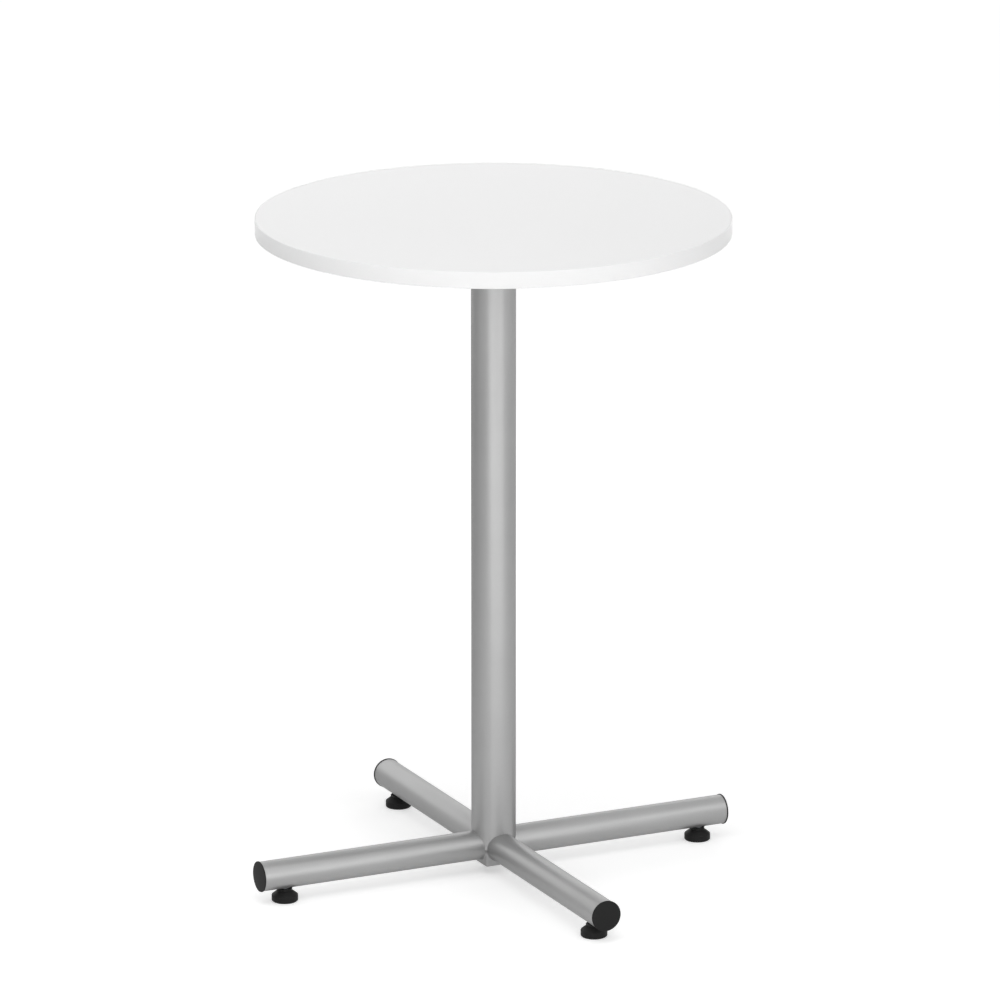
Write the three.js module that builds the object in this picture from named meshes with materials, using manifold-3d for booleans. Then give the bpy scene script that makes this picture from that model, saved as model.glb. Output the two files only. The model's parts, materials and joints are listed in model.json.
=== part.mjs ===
// Standing meeting table: a round top on one column that stands on a cross of four legs with levelling feet.
// Units are millimetres, +Z is up, and the origin lies on the floor under the middle of the column.
// The legs lie along +X, +Y, -X and -Y: right, back, left and front.

import * as THREE from 'three';
import { mergeVertices } from 'three/addons/utils/BufferGeometryUtils.js';
import Module from 'manifold-3d';

const wasm = await Module();
wasm.setup();

// Tabletop
const TABLE_HEIGHT = 1150;
const TOP_DIAMETER = 800;
const TOP_THICKNESS = 28;
const EDGE_BAND_THICKNESS = 2;
const EDGE_BAND_RADIUS = 1.2;

// Mounting plate and its screws
const PLATE_SIDE = 280;
const PLATE_THICKNESS = 6;
const PLATE_CORNER_RADIUS = 24;
const SCREW_EDGE_DISTANCE = 22;
const SCREW_DIAMETER = 5;
const SCREW_TIP_LENGTH = 5;
const SCREW_TOP_COVER = 9;
const SCREW_HEAD_DIAMETER = 10;
const SCREW_HEAD_HEIGHT = 3.2;
const SCREW_HEAD_RIM = 1;
const SCREW_CROWN_DIAMETER = 6;
const RECESS_WIDTH = 1.2;
const RECESS_LENGTH = 5.2;
const RECESS_DEPTH = 1.8;

// Column
const COLUMN_DIAMETER = 76.1;
const COLUMN_WALL = 2;
const COLUMN_END_ABOVE_LEG_AXIS = 14.6;
const ANCHOR_DISC_THICKNESS = 10;

// Hub post and the bolt that clamps the column on it
const HUB_WALL = 3;
const HUB_DROP_BELOW_LEGS = 8;
const HUB_POST_LENGTH = 125;
const HUB_HEAD_THICKNESS = 8;
const BOLT_DIAMETER = 10;
const BOLT_HEAD_ACROSS_FLATS = 16;
const BOLT_HEAD_HEIGHT = 6.4;
const BOLT_END_REACH = 2;
const WASHER_DIAMETER = 24;
const WASHER_THICKNESS = 2;

// Legs and their end caps
const LEG_DIAMETER = 50.8;
const LEG_WALL = 2;
const LEG_REACH = 439;
const CAP_FLANGE_THICKNESS = 2.5;
const CAP_FLANGE_OVERHANG = 1;
const CAP_EDGE_RADIUS = 1.2;
const CAP_PLUG_LENGTH = 18;
const CAP_PLUG_WALL = 2;
const CAP_RIB_HEIGHT = 1;
const CAP_RIB_WIDTH = 3;
const CAP_RIB_COUNT = 2;

// Levelling feet
const FOOT_SETBACK = 48;
const SPINDLE_DIAMETER = 10;
const SPINDLE_THREAD_LENGTH = 34;
const SPINDLE_END_CHAMFER = 1;
const SPINDLE_NECK_RELIEF = 1;
const BALL_SHOULDER = 2;
const INSERT_WALL = 3;
const INSERT_LENGTH = 14;
const COLLAR_ACROSS_FLATS = 24;
const COLLAR_HEIGHT = 4.4;
const PAD_DIAMETER = 45;
const PAD_SIDE_HEIGHT = 11;
const PAD_SHOULDER_HEIGHT = 7;
const PAD_TOP_DIAMETER = 27.2;
const PAD_FLOOR_CHAMFER = 1.6;
const PAD_FLOOR_THICKNESS = 2.2;

// Clearances
const SEAT_GAP = 0.3;
const GLUE_GAP = 0.1;
const BOLT_HOLE_CLEARANCE = 0.5;
const PAD_MOUTH_CLEARANCE = 0.8;
const HUB_CORNER_CLEARANCE = 0.7;
const CUT_OVERRUN = 1;

// Facets of the round pieces
const TOP_FACETS = 96;
const TUBE_FACETS = 40;
const CAP_FACETS = 32;
const PAD_FACETS = 32;
const SHAFT_FACETS = 16;
const SCREW_FACETS = 12;
const CORNER_FACETS = 6;
const ROUND_EDGE_STEPS = 2;
const BALL_STEPS = 5;
const BALL_LOWEST_ANGLE = -60;

// Heights that follow from the sizes above, from the floor up
const padTop = PAD_SIDE_HEIGHT + PAD_SHOULDER_HEIGHT;
const collarBottom = padTop + SEAT_GAP;
const collarTop = collarBottom + COLLAR_HEIGHT;
const legUnderside = collarTop + SEAT_GAP;
const legRadius = LEG_DIAMETER / 2;
const legAxisHeight = legUnderside + legRadius;
const hubBottom = legUnderside - HUB_DROP_BELOW_LEGS;
const hubTop = hubBottom + HUB_POST_LENGTH;
const anchorBottom = hubTop + HUB_HEAD_THICKNESS;
const anchorTop = anchorBottom + ANCHOR_DISC_THICKNESS;
const columnBottom = legAxisHeight + COLUMN_END_ABOVE_LEG_AXIS;
const topUnderside = TABLE_HEIGHT - TOP_THICKNESS;
const plateUnderside = topUnderside - PLATE_THICKNESS;

// Widths and places that follow from the sizes above
const columnRadius = COLUMN_DIAMETER / 2;
const columnBore = columnRadius - COLUMN_WALL;
const hubSide = Math.SQRT2 * (columnBore - HUB_CORNER_CLEARANCE);
const legBore = legRadius - LEG_WALL;
const legInnerEnd = hubSide / 2 + SEAT_GAP;
const capSeat = LEG_REACH - CAP_FLANGE_THICKNESS;
const legOuterEnd = capSeat - SEAT_GAP;
const footReach = LEG_REACH - FOOT_SETBACK;
const spindleRadius = SPINDLE_DIAMETER / 2;
const neckRadius = spindleRadius - SPINDLE_NECK_RELIEF;
const ballRadius = neckRadius + BALL_SHOULDER;
const socketRadius = ballRadius + SEAT_GAP;
const ballCentreHeight = PAD_FLOOR_THICKNESS + socketRadius;
const insertRadius = spindleRadius + SEAT_GAP + INSERT_WALL;
const screwRadius = SCREW_DIAMETER / 2;
const screwLength = PLATE_THICKNESS + TOP_THICKNESS - SCREW_TOP_COVER;
const boltRadius = BOLT_DIAMETER / 2;

// Finishes
const topWhite = { color: 0xf0f0ef, roughness: 0.5, metalness: 0 };
const bandWhite = { color: 0xf6f6f5, roughness: 0.4, metalness: 0 };
const silverCoat = { color: 0xa9abac, roughness: 0.42, metalness: 0.55 };
const zincSteel = { color: 0xb9bcbe, roughness: 0.35, metalness: 0.9 };
const blackPlastic = { color: 0x2c2c2d, roughness: 0.55, metalness: 0 };

const table = new THREE.Group();

function addPiece(parent, name, geometry, finish) {
  const mesh = new THREE.Mesh(geometry, new THREE.MeshStandardMaterial(finish));
  mesh.name = name;
  parent.add(mesh);
  return mesh;
}

// Joins equal vertices and drops the empty triangles that a turned profile has on its axis.
function weld(geometry) {
  const bare = geometry.clone();
  bare.deleteAttribute('normal');
  bare.deleteAttribute('uv');
  const merged = mergeVertices(bare);
  const corners = merged.index.array;
  const kept = [];
  for (let i = 0; i < corners.length; i += 3) {
    const [a, b, c] = [corners[i], corners[i + 1], corners[i + 2]];
    if (a !== b && b !== c && c !== a) {
      kept.push(a, b, c);
    }
  }
  merged.setIndex(kept);
  return merged;
}

function toSolid(geometry) {
  const welded = weld(geometry);
  return new wasm.Manifold(new wasm.Mesh({
    numProp: 3,
    vertProperties: Float32Array.from(welded.attributes.position.array),
    triVerts: Uint32Array.from(welded.index.array),
  }));
}

function toGeometry(solid) {
  const mesh = solid.getMesh();
  const geometry = new THREE.BufferGeometry();
  geometry.setAttribute('position', new THREE.BufferAttribute(mesh.vertProperties, 3));
  geometry.setIndex(new THREE.BufferAttribute(mesh.triVerts, 1));
  geometry.computeVertexNormals();
  return geometry;
}

function cut(geometry, cutters) {
  let solid = toSolid(geometry);
  for (const cutter of cutters) {
    solid = solid.subtract(toSolid(cutter));
  }
  return toGeometry(solid);
}

// Turns a profile of [radius, height] points about the Z axis.
function turned(profile, facets) {
  const points = profile.map(([radius, height]) => new THREE.Vector2(radius, height));
  return weld(new THREE.LatheGeometry(points, facets).rotateX(Math.PI / 2));
}

function rod(radius, bottom, top, facets) {
  return turned([[0, bottom], [radius, bottom], [radius, top], [0, top]], facets);
}

function ring(innerRadius, outerRadius, bottom, top, facets) {
  return turned([
    [innerRadius, bottom],
    [outerRadius, bottom],
    [outerRadius, top],
    [innerRadius, top],
    [innerRadius, bottom],
  ], facets);
}

// Points of an arc in a profile, from one angle to another, in degrees.
function arc(centreRadius, centreHeight, radius, fromDegrees, toDegrees, steps) {
  const points = [];
  for (let i = 0; i <= steps; i += 1) {
    const angle = THREE.MathUtils.degToRad(fromDegrees + (toDegrees - fromDegrees) * i / steps);
    points.push([centreRadius + radius * Math.cos(angle), centreHeight + radius * Math.sin(angle)]);
  }
  return points;
}

// The angle, in degrees above the middle, at which a ball is as wide as the given radius.
function angleAtRadius(radius, ball) {
  return THREE.MathUtils.radToDeg(Math.acos(radius / ball));
}

function block(width, depth, bottom, top) {
  return new THREE.BoxGeometry(width, depth, top - bottom).translate(0, 0, (bottom + top) / 2);
}

function polygon(corners) {
  return new THREE.Shape(corners.map(([x, y]) => new THREE.Vector2(x, y)));
}

function hexagon(acrossFlats) {
  const corner = acrossFlats / Math.sqrt(3);
  const corners = [];
  for (let i = 0; i < 6; i += 1) {
    const angle = i * Math.PI / 3;
    corners.push([corner * Math.cos(angle), corner * Math.sin(angle)]);
  }
  return polygon(corners);
}

function prism(shape, bottom, top) {
  const settings = { depth: top - bottom, bevelEnabled: false, curveSegments: CORNER_FACETS };
  return new THREE.ExtrudeGeometry(shape, settings).translate(0, 0, bottom);
}

// The screws stand at the corners of the plate and at the middles of its sides.
function screwPlaces() {
  const reach = PLATE_SIDE / 2 - SCREW_EDGE_DISTANCE;
  const places = [];
  for (const x of [-reach, 0, reach]) {
    for (const y of [-reach, 0, reach]) {
      if (x !== 0 || y !== 0) {
        places.push([x, y]);
      }
    }
  }
  return places;
}

// Board with pilot holes, and the band round its edge
function addTop() {
  const bandOuter = TOP_DIAMETER / 2;
  const bandInner = bandOuter - EDGE_BAND_THICKNESS;
  const pilotTop = plateUnderside + screwLength + SEAT_GAP;
  const pilot = rod(screwRadius + GLUE_GAP, topUnderside - CUT_OVERRUN, pilotTop, SCREW_FACETS);
  const pilots = screwPlaces().map(([x, y]) => pilot.clone().translate(x, y, 0));
  const disc = rod(bandInner - GLUE_GAP, topUnderside, TABLE_HEIGHT, TOP_FACETS);
  addPiece(table, 'tabletop_board', cut(disc, pilots), topWhite);

  const edge = bandOuter - EDGE_BAND_RADIUS;
  const band = turned([
    [bandInner, topUnderside],
    ...arc(edge, topUnderside + EDGE_BAND_RADIUS, EDGE_BAND_RADIUS, -90, 0, ROUND_EDGE_STEPS),
    ...arc(edge, TABLE_HEIGHT - EDGE_BAND_RADIUS, EDGE_BAND_RADIUS, 0, 90, ROUND_EDGE_STEPS),
    [bandInner, TABLE_HEIGHT],
    [bandInner, topUnderside],
  ], TOP_FACETS);
  addPiece(table, 'tabletop_edge_band', band, bandWhite);
}

// Mounting plate with rounded corners, and its screws
function addPlate() {
  const flat = PLATE_SIDE / 2 - PLATE_CORNER_RADIUS;
  const quarter = Math.PI / 2;
  const outline = new THREE.Shape();
  [[1, 1], [-1, 1], [-1, -1], [1, -1]].forEach(([x, y], i) => {
    outline.absarc(x * flat, y * flat, PLATE_CORNER_RADIUS, i * quarter, (i + 1) * quarter);
  });
  outline.closePath();
  const hole = rod(screwRadius + SEAT_GAP, plateUnderside - CUT_OVERRUN, topUnderside + CUT_OVERRUN, SCREW_FACETS);
  const holes = screwPlaces().map(([x, y]) => hole.clone().translate(x, y, 0));
  const plate = cut(prism(outline, plateUnderside, topUnderside), holes);
  addPiece(table, 'top_mounting_plate', plate, silverCoat);

  const screw = plateScrew();
  screwPlaces().forEach(([x, y], i) => {
    addPiece(table, `plate_screw_${i + 1}`, screw.clone(), zincSteel).position.set(x, y, plateUnderside);
  });
}

// A pan-head screw with a cross recess, pointing up, with the seat of its head at zero.
function plateScrew() {
  const head = SCREW_HEAD_DIAMETER / 2;
  const body = turned([
    [0, -SCREW_HEAD_HEIGHT],
    [SCREW_CROWN_DIAMETER / 2, -SCREW_HEAD_HEIGHT],
    [head, -SCREW_HEAD_RIM],
    [head, 0],
    [screwRadius, 0],
    [screwRadius, screwLength - SCREW_TIP_LENGTH],
    [0, screwLength],
  ], SCREW_FACETS);
  const recessBottom = -SCREW_HEAD_HEIGHT - CUT_OVERRUN;
  const recessTop = RECESS_DEPTH - SCREW_HEAD_HEIGHT;
  return cut(body, [
    block(RECESS_LENGTH, RECESS_WIDTH, recessBottom, recessTop),
    block(RECESS_WIDTH, RECESS_LENGTH, recessBottom, recessTop),
  ]);
}

// Column, coped over the legs, with the anchor disc in its foot
function addColumn() {
  const tube = ring(columnBore, columnRadius, columnBottom, plateUnderside, TUBE_FACETS);
  const cope = rod(legRadius + SEAT_GAP, -COLUMN_DIAMETER, COLUMN_DIAMETER, TUBE_FACETS);
  const alongX = cope.clone().rotateY(Math.PI / 2).translate(0, 0, legAxisHeight);
  const alongY = cope.clone().rotateX(Math.PI / 2).translate(0, 0, legAxisHeight);
  addPiece(table, 'column_tube', cut(tube, [alongX, alongY]), silverCoat);

  const disc = ring(boltRadius + SEAT_GAP, columnBore - SEAT_GAP, anchorBottom, anchorTop, TUBE_FACETS);
  addPiece(table, 'column_anchor_disc', disc, zincSteel);
}

// Hub post with its head plate, clamp bolt and washer
function addHub() {
  const core = hubSide - 2 * HUB_WALL;
  const hollow = block(core, core, hubBottom - CUT_OVERRUN, hubTop + CUT_OVERRUN);
  const post = cut(block(hubSide, hubSide, hubBottom, hubTop), [hollow]);
  addPiece(table, 'hub_post', post, silverCoat);

  const holeRadius = boltRadius + BOLT_HOLE_CLEARANCE;
  const boltHole = rod(holeRadius, hubTop - CUT_OVERRUN, anchorBottom + CUT_OVERRUN, SHAFT_FACETS);
  const headPlate = cut(block(hubSide, hubSide, hubTop, anchorBottom), [boltHole]);
  addPiece(table, 'hub_head_plate', headPlate, zincSteel);

  const washerBottom = hubTop - WASHER_THICKNESS;
  const washer = ring(holeRadius, WASHER_DIAMETER / 2, washerBottom, hubTop, SHAFT_FACETS);
  addPiece(table, 'clamp_washer', washer, zincSteel);

  const headBottom = washerBottom - BOLT_HEAD_HEIGHT;
  const boltHead = toSolid(prism(hexagon(BOLT_HEAD_ACROSS_FLATS), headBottom, washerBottom));
  const shankStart = (headBottom + washerBottom) / 2;
  const shank = toSolid(rod(boltRadius, shankStart, anchorTop + BOLT_END_REACH, SHAFT_FACETS));
  addPiece(table, 'clamp_bolt', toGeometry(boltHead.add(shank)), zincSteel);
}

// One leg along +X with its end cap and levelling foot, turned into its quarter of the cross
function addLeg(side, quarterTurns) {
  const leg = new THREE.Group();
  leg.rotation.z = quarterTurns * Math.PI / 2;
  table.add(leg);
  addPiece(leg, `leg_tube_${side}`, legTube(), silverCoat);
  addPiece(leg, `end_cap_${side}`, endCap(), blackPlastic).position.set(capSeat, 0, legAxisHeight);

  const foot = new THREE.Group();
  foot.position.x = footReach;
  leg.add(foot);
  const insertTop = legUnderside + INSERT_LENGTH;
  const insert = ring(spindleRadius + SEAT_GAP, insertRadius, legUnderside, insertTop, SHAFT_FACETS);
  addPiece(foot, `foot_insert_${side}`, insert, zincSteel);
  addPiece(foot, `foot_spindle_${side}`, footSpindle(), zincSteel);
  addPiece(foot, `foot_collar_${side}`, footCollar(), blackPlastic);
  addPiece(foot, `foot_pad_${side}`, footPad(), blackPlastic);
}

// Leg tube, mitred against its neighbours where it meets the hub, with a hole for the foot insert
function legTube() {
  const tube = ring(legBore, legRadius, legInnerEnd, legOuterEnd, TUBE_FACETS)
    .rotateY(Math.PI / 2)
    .translate(0, 0, legAxisHeight);
  const insertHole = rod(insertRadius + SEAT_GAP, 0, legAxisHeight, SHAFT_FACETS).translate(footReach, 0, 0);
  const wedge = polygon([[SEAT_GAP, 0], [LEG_REACH, SEAT_GAP - LEG_REACH], [LEG_REACH, LEG_REACH - SEAT_GAP]]);
  const mitre = toSolid(prism(wedge, 0, legAxisHeight + LEG_DIAMETER));
  return toGeometry(toSolid(tube).subtract(toSolid(insertHole)).intersect(mitre));
}

// End cap with its flange seated at zero and a ribbed plug that goes back into the bore
function endCap() {
  const flange = legRadius + CAP_FLANGE_OVERHANG;
  const edgeRadius = flange - CAP_EDGE_RADIUS;
  const edgeHeight = CAP_FLANGE_THICKNESS - CAP_EDGE_RADIUS;
  const ribTip = legBore - SEAT_GAP;
  const plug = ribTip - CAP_RIB_HEIGHT;
  const ribSpacing = CAP_PLUG_LENGTH / CAP_RIB_COUNT;
  const ribs = [];
  for (let i = CAP_RIB_COUNT - 1; i >= 0; i -= 1) {
    const middle = -ribSpacing * (i + 0.5);
    ribs.push([plug, middle - CAP_RIB_WIDTH / 2]);
    ribs.push([ribTip, middle]);
    ribs.push([plug, middle + CAP_RIB_WIDTH / 2]);
  }
  const profile = [
    [0, 0],
    [plug - CAP_PLUG_WALL, 0],
    [plug - CAP_PLUG_WALL, -CAP_PLUG_LENGTH],
    [plug, -CAP_PLUG_LENGTH],
    ...ribs,
    [plug, 0],
    [flange, 0],
    ...arc(edgeRadius, edgeHeight, CAP_EDGE_RADIUS, 0, 90, ROUND_EDGE_STEPS),
    [0, CAP_FLANGE_THICKNESS],
  ];
  return turned(profile, CAP_FACETS).rotateY(Math.PI / 2);
}

// Threaded spindle that ends in a ball, which sits in the pad
function footSpindle() {
  const threadTop = collarBottom + SPINDLE_THREAD_LENGTH;
  const neckAngle = angleAtRadius(neckRadius, ballRadius);
  const profile = [
    [0, ballCentreHeight - ballRadius],
    ...arc(0, ballCentreHeight, ballRadius, BALL_LOWEST_ANGLE, neckAngle, BALL_STEPS),
    [neckRadius, collarBottom],
    [spindleRadius, collarBottom],
    [spindleRadius, threadTop - SPINDLE_END_CHAMFER],
    [spindleRadius - SPINDLE_END_CHAMFER, threadTop],
    [0, threadTop],
  ];
  return turned(profile, SHAFT_FACETS);
}

// Hexagonal collar that is fixed on the spindle
function footCollar() {
  const bore = rod(spindleRadius + SEAT_GAP, collarBottom - CUT_OVERRUN, collarTop + CUT_OVERRUN, SHAFT_FACETS);
  return cut(prism(hexagon(COLLAR_ACROSS_FLATS), collarBottom, collarTop), [bore]);
}

// Pad with a floor face, a conical shoulder and a socket that holds the ball
function footPad() {
  const side = PAD_DIAMETER / 2;
  const mouth = neckRadius + PAD_MOUTH_CLEARANCE;
  const mouthAngle = angleAtRadius(mouth, socketRadius);
  const profile = [
    [0, 0],
    [side - PAD_FLOOR_CHAMFER, 0],
    [side, PAD_FLOOR_CHAMFER],
    [side, PAD_SIDE_HEIGHT],
    [PAD_TOP_DIAMETER / 2, padTop],
    [mouth, padTop],
    ...arc(0, ballCentreHeight, socketRadius, mouthAngle, BALL_LOWEST_ANGLE, BALL_STEPS),
    [0, PAD_FLOOR_THICKNESS],
  ];
  return turned(profile, PAD_FACETS);
}

addTop();
addPlate();
addColumn();
addHub();
['right', 'back', 'left', 'front'].forEach((side, quarterTurns) => addLeg(side, quarterTurns));

export default table;
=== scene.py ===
import json
import math

import bmesh
import bpy
from bpy.props import FloatProperty, FloatVectorProperty, PointerProperty
from mathutils import Color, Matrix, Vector

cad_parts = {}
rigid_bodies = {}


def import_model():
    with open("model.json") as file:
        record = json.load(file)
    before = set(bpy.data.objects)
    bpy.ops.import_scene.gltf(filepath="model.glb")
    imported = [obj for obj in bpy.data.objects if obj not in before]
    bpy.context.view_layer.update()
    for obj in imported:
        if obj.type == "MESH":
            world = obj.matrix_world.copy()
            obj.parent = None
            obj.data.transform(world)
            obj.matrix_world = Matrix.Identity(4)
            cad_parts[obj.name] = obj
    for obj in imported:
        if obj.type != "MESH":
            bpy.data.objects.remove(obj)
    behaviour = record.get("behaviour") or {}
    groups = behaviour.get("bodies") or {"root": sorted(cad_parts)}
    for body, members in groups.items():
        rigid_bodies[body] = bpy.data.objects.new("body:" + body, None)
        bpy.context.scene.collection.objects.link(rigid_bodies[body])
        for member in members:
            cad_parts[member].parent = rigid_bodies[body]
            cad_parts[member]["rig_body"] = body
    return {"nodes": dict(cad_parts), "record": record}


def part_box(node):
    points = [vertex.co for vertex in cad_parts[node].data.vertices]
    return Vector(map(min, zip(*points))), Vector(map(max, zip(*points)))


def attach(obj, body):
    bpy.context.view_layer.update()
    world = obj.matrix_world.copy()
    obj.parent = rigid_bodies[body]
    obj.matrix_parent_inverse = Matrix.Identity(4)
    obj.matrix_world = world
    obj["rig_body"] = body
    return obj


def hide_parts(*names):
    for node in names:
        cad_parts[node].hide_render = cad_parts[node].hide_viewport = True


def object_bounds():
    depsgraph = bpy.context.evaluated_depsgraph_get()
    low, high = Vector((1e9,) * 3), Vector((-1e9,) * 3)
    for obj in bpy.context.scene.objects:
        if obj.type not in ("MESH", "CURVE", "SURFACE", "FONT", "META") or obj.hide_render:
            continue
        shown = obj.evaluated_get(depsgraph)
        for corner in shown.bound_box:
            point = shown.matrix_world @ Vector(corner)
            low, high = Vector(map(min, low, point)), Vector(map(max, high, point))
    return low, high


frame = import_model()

bl_info = {
    "name": "Standing meeting table",
    "version": (1, 0, 0),
    "blender": (4, 5, 0),
    "location": "3D View > Sidebar > Table",
    "description": "Models and finishes a round standing table around its packed frame",
    "category": "Object",
}

MM = 0.001
CAD_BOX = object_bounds()

# What the frame says of each node: the body that carries it and the record's finish
BODY = {node: piece["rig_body"] for node, piece in frame["nodes"].items()}
SLOT = {row["node"]: row["material_slot"] for row in frame["record"]["subparts"]}

# The legs in order, a quarter turn apart, and the screws under the top
SIDES = ("right", "back", "left", "front")
QUARTER_TURN = math.pi / 2
SCREWS = [f"plate_screw_{number}" for number in range(1, 9)]

# Fineness of the meshes: steps in a round, an upright corner, a broken edge, a ball and a whole turn
ROUND_STEPS = 5
CORNER_STEPS = 10
BREAK_STEPS = 2
BALL_STEPS = 12
TOP_STEPS = 256
TUBE_STEPS = 96
FOOT_STEPS = 64
SMALL_STEPS = 32
THREAD_STEPS = 32

# Settings of the shaping tools
MERGE_DISTANCE = 0.001 * MM
BISECT_DISTANCE = MERGE_DISTANCE / 10
CUT_OVERRUN = 1 * MM
SMOOTH_ANGLE = math.radians(32)

# Angle of a ball's pole above its middle, in degrees
POLE = 90

# Shape of a metric thread, as shares of its pitch
THREAD_DEPTH = 0.613
THREAD_CREST = 0.125
THREAD_ROOT = 0.25

# Chamfer of a nut, and the width of a bolt head over its flats in thread diameters
NUT_CHAMFER = math.radians(30)
BOLT_FLATS = 1.6

# Round of a pan head as a share of its height, and broken edge of a washer as a share of its thickness
PAN_ROUND = 0.6
WASHER_EDGE = 1 / 6

# How far the hollow face of a weld stands off both sides, as a share of its leg length
WELD_FACE = 1 / 3

# Where the ribs lie along the plug of a cap, and half their width in rib heights
RIB_PLACES = (0.25, 0.75)
RIB_HALF_WIDTH = 1.5


def length(name, description, millimetres):
    """A length property whose default is given in millimetres."""
    return FloatProperty(
        name=name, description=description, default=millimetres * MM, min=0, precision=5, unit='LENGTH'
    )


def colour(name, description, red, green, blue):
    """A colour property whose default is given as it shows on a screen."""
    return FloatVectorProperty(
        name=name, description=description, default=(red, green, blue), min=0, max=1, subtype='COLOR_GAMMA'
    )


class TableSizes(bpy.types.PropertyGroup):
    """Sizes of the shapes that the frame leaves plain"""

    band_round: length("Band round", "Round along both outer edges of the edge band", 1.2)
    board_break: length("Board break", "Broken edge of the board where it meets the band", 0.25)
    glue_gap: length("Glue gap", "Glue line between the board and the band", 0.1)
    plate_corner: length("Plate corner", "Corner radius of the mounting plate", 24)
    plate_break: length("Plate break", "Broken edges of the mounting plate", 0.6)
    plate_weld: length("Plate weld", "Leg length of the weld under the mounting plate", 4)
    screw_shank: length("Screw shank", "Radius of the plate screws over the thread", 2.5)
    screw_head: length("Screw head", "Height of the plate screws' pan heads", 3.2)
    screw_pitch: length("Screw pitch", "Pitch of the plate screws", 2.2)
    screw_point: length("Screw point", "Length of the plate screws' points", 5)
    recess_width: length("Recess width", "Width of the cross recess in the screw heads", 1.2)
    recess_length: length("Recess length", "Length of the cross recess in the screw heads", 5.2)
    recess_depth: length("Recess depth", "Depth of the cross recess in the screw heads", 1.8)
    tube_wall: length("Tube wall", "Wall of the column and leg tubes", 2)
    tube_break: length("Tube break", "Broken edges at the ends of the tubes", 0.4)
    seat_gap: length("Seat gap", "Clearance between pieces that seat on each other", 0.3)
    hub_wall: length("Hub wall", "Wall of the square hub post", 3)
    hub_corner: length("Hub corner", "Round along the hub post's corners", 2)
    leg_weld: length("Leg weld", "Leg length of the welds between hub and legs", 2.2)
    corner_weld: length("Corner weld", "Depth of the welds between neighbouring legs, under the column", 5)
    cap_flange: length("Cap flange", "Thickness of the end caps outside the legs", 2.5)
    cap_round: length("Cap round", "Round along the rim of the end caps", 0.5)
    cap_dome: length("Cap dome", "How far the head of an end cap rises from its rim to its middle", 0.9)
    cap_wall: length("Cap wall", "Wall of the end caps' plugs", 2)
    cap_rib: length("Cap rib", "Height of the ribs round the end caps' plugs", 1)
    spindle_pitch: length("Spindle pitch", "Pitch of the foot spindles and the clamp bolt", 1.5)
    spindle_chamfer: length("Spindle chamfer", "Chamfer at the upper ends of the foot spindles", 1)
    spindle_radius: length("Spindle radius", "Radius of the foot spindles over the thread", 5)
    neck_relief: length("Neck relief", "How much the neck above the ball is thinner than the spindle", 1)
    ball_shoulder: length("Ball shoulder", "How much the ball is wider than the neck, on each side", 2)
    mouth_gap: length("Mouth gap", "Clearance of the neck in the mouth of a foot pad", 0.8)
    pad_side: length("Pad side", "Height of the upright side of the foot pads", 11)
    pad_top: length("Pad top", "Radius of the upper face of the foot pads", 13.6)
    pad_chamfer: length("Pad chamfer", "Chamfer along the lower edge of the foot pads", 1.6)
    pad_round: length("Pad round", "Round along the upper edges of the foot pads", 1.4)
    pad_floor: length("Pad floor", "Thickness of the foot pads under the ball", 2.2)
    pad_sole: length("Pad sole", "Depth of the hollow in the sole of the foot pads", 0.6)
    pad_sole_ring: length("Pad sole ring", "Width of the ring that the foot pads stand on", 7)


class TableColours(bpy.types.PropertyGroup):
    """Colours of the finishes"""

    board: colour("Board", "White of the melamine face", 0.94, 0.94, 0.94)
    band: colour("Band", "White of the edge band", 0.95, 0.95, 0.95)
    silver: colour("Silver", "Powder coat of the column, legs, hub and plate", 0.633, 0.633, 0.633)
    zinc: colour("Zinc", "Plated steel of the screws, bolt, washer, inserts and spindles", 0.74, 0.75, 0.76)
    black: colour("Black", "Moulded plastic of the caps, collars and pads", 0.15, 0.15, 0.15)


class StageSettings(bpy.types.PropertyGroup):
    """Camera and light"""

    azimuth: FloatProperty(
        name="Azimuth", description="Side that the camera looks from, right of the front leg",
        default=math.radians(-25.348), subtype='ANGLE',
    )
    distance: length("Distance", "From the camera to the column's axis, along the floor", 12174.4)
    height: length("Height", "Of the camera above the floor", 4019.1)
    aim_height: length("Aim height", "Height of the point that the camera looks at", 656.5)
    aim_side: FloatProperty(
        name="Aim side", description="How far right of the axis the camera looks",
        default=0.0109, unit='LENGTH',
    )
    lens: FloatProperty(
        name="Lens", description="Focal length on a sensor 36 mm wide, in millimetres",
        default=268.89, min=1,
    )
    ambient: FloatProperty(
        name="Ambient", description="Strength of the even light from all round", default=0.24, min=0
    )


# What the pieces take from the frame

def heights(node):
    """Lowest and highest level of a node."""
    low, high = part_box(node)
    return low.z, high.z


def radius_of(node):
    """Radius of a round upright node."""
    low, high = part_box(node)
    return (high.x - low.x) / 2


def leg_axis():
    """Height of the legs' axes, and the legs' radius."""
    low, high = heights("leg_tube_right")
    return (low + high) / 2, (high - low) / 2


def foot_reach():
    """How far the feet stand from the column's axis."""
    low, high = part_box("foot_pad_right")
    return (low.x + high.x) / 2


def screw_places():
    """Where the plate screws stand, as (x, y)."""
    middles = [sum(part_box(screw), Vector()) / 2 for screw in SCREWS]
    return [tuple(middle.xy) for middle in middles]


# Selecting and shaping

def pick(*pieces):
    """Leaves edit mode and selects only these pieces, the first as the active one."""
    if bpy.context.mode != 'OBJECT':
        bpy.ops.object.mode_set(mode='OBJECT')
    bpy.ops.object.select_all(action='DESELECT')
    for piece in pieces:
        piece.select_set(True)
    if pieces:
        bpy.context.view_layer.objects.active = pieces[0]


def edit(piece):
    """Enters edit mode on one piece."""
    pick(piece)
    bpy.ops.object.mode_set(mode='EDIT')


def apply_place(piece):
    """Moves the piece's place, turn and scale into its mesh."""
    pick(piece)
    bpy.ops.object.transform_apply(location=True, rotation=True, scale=True)


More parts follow.
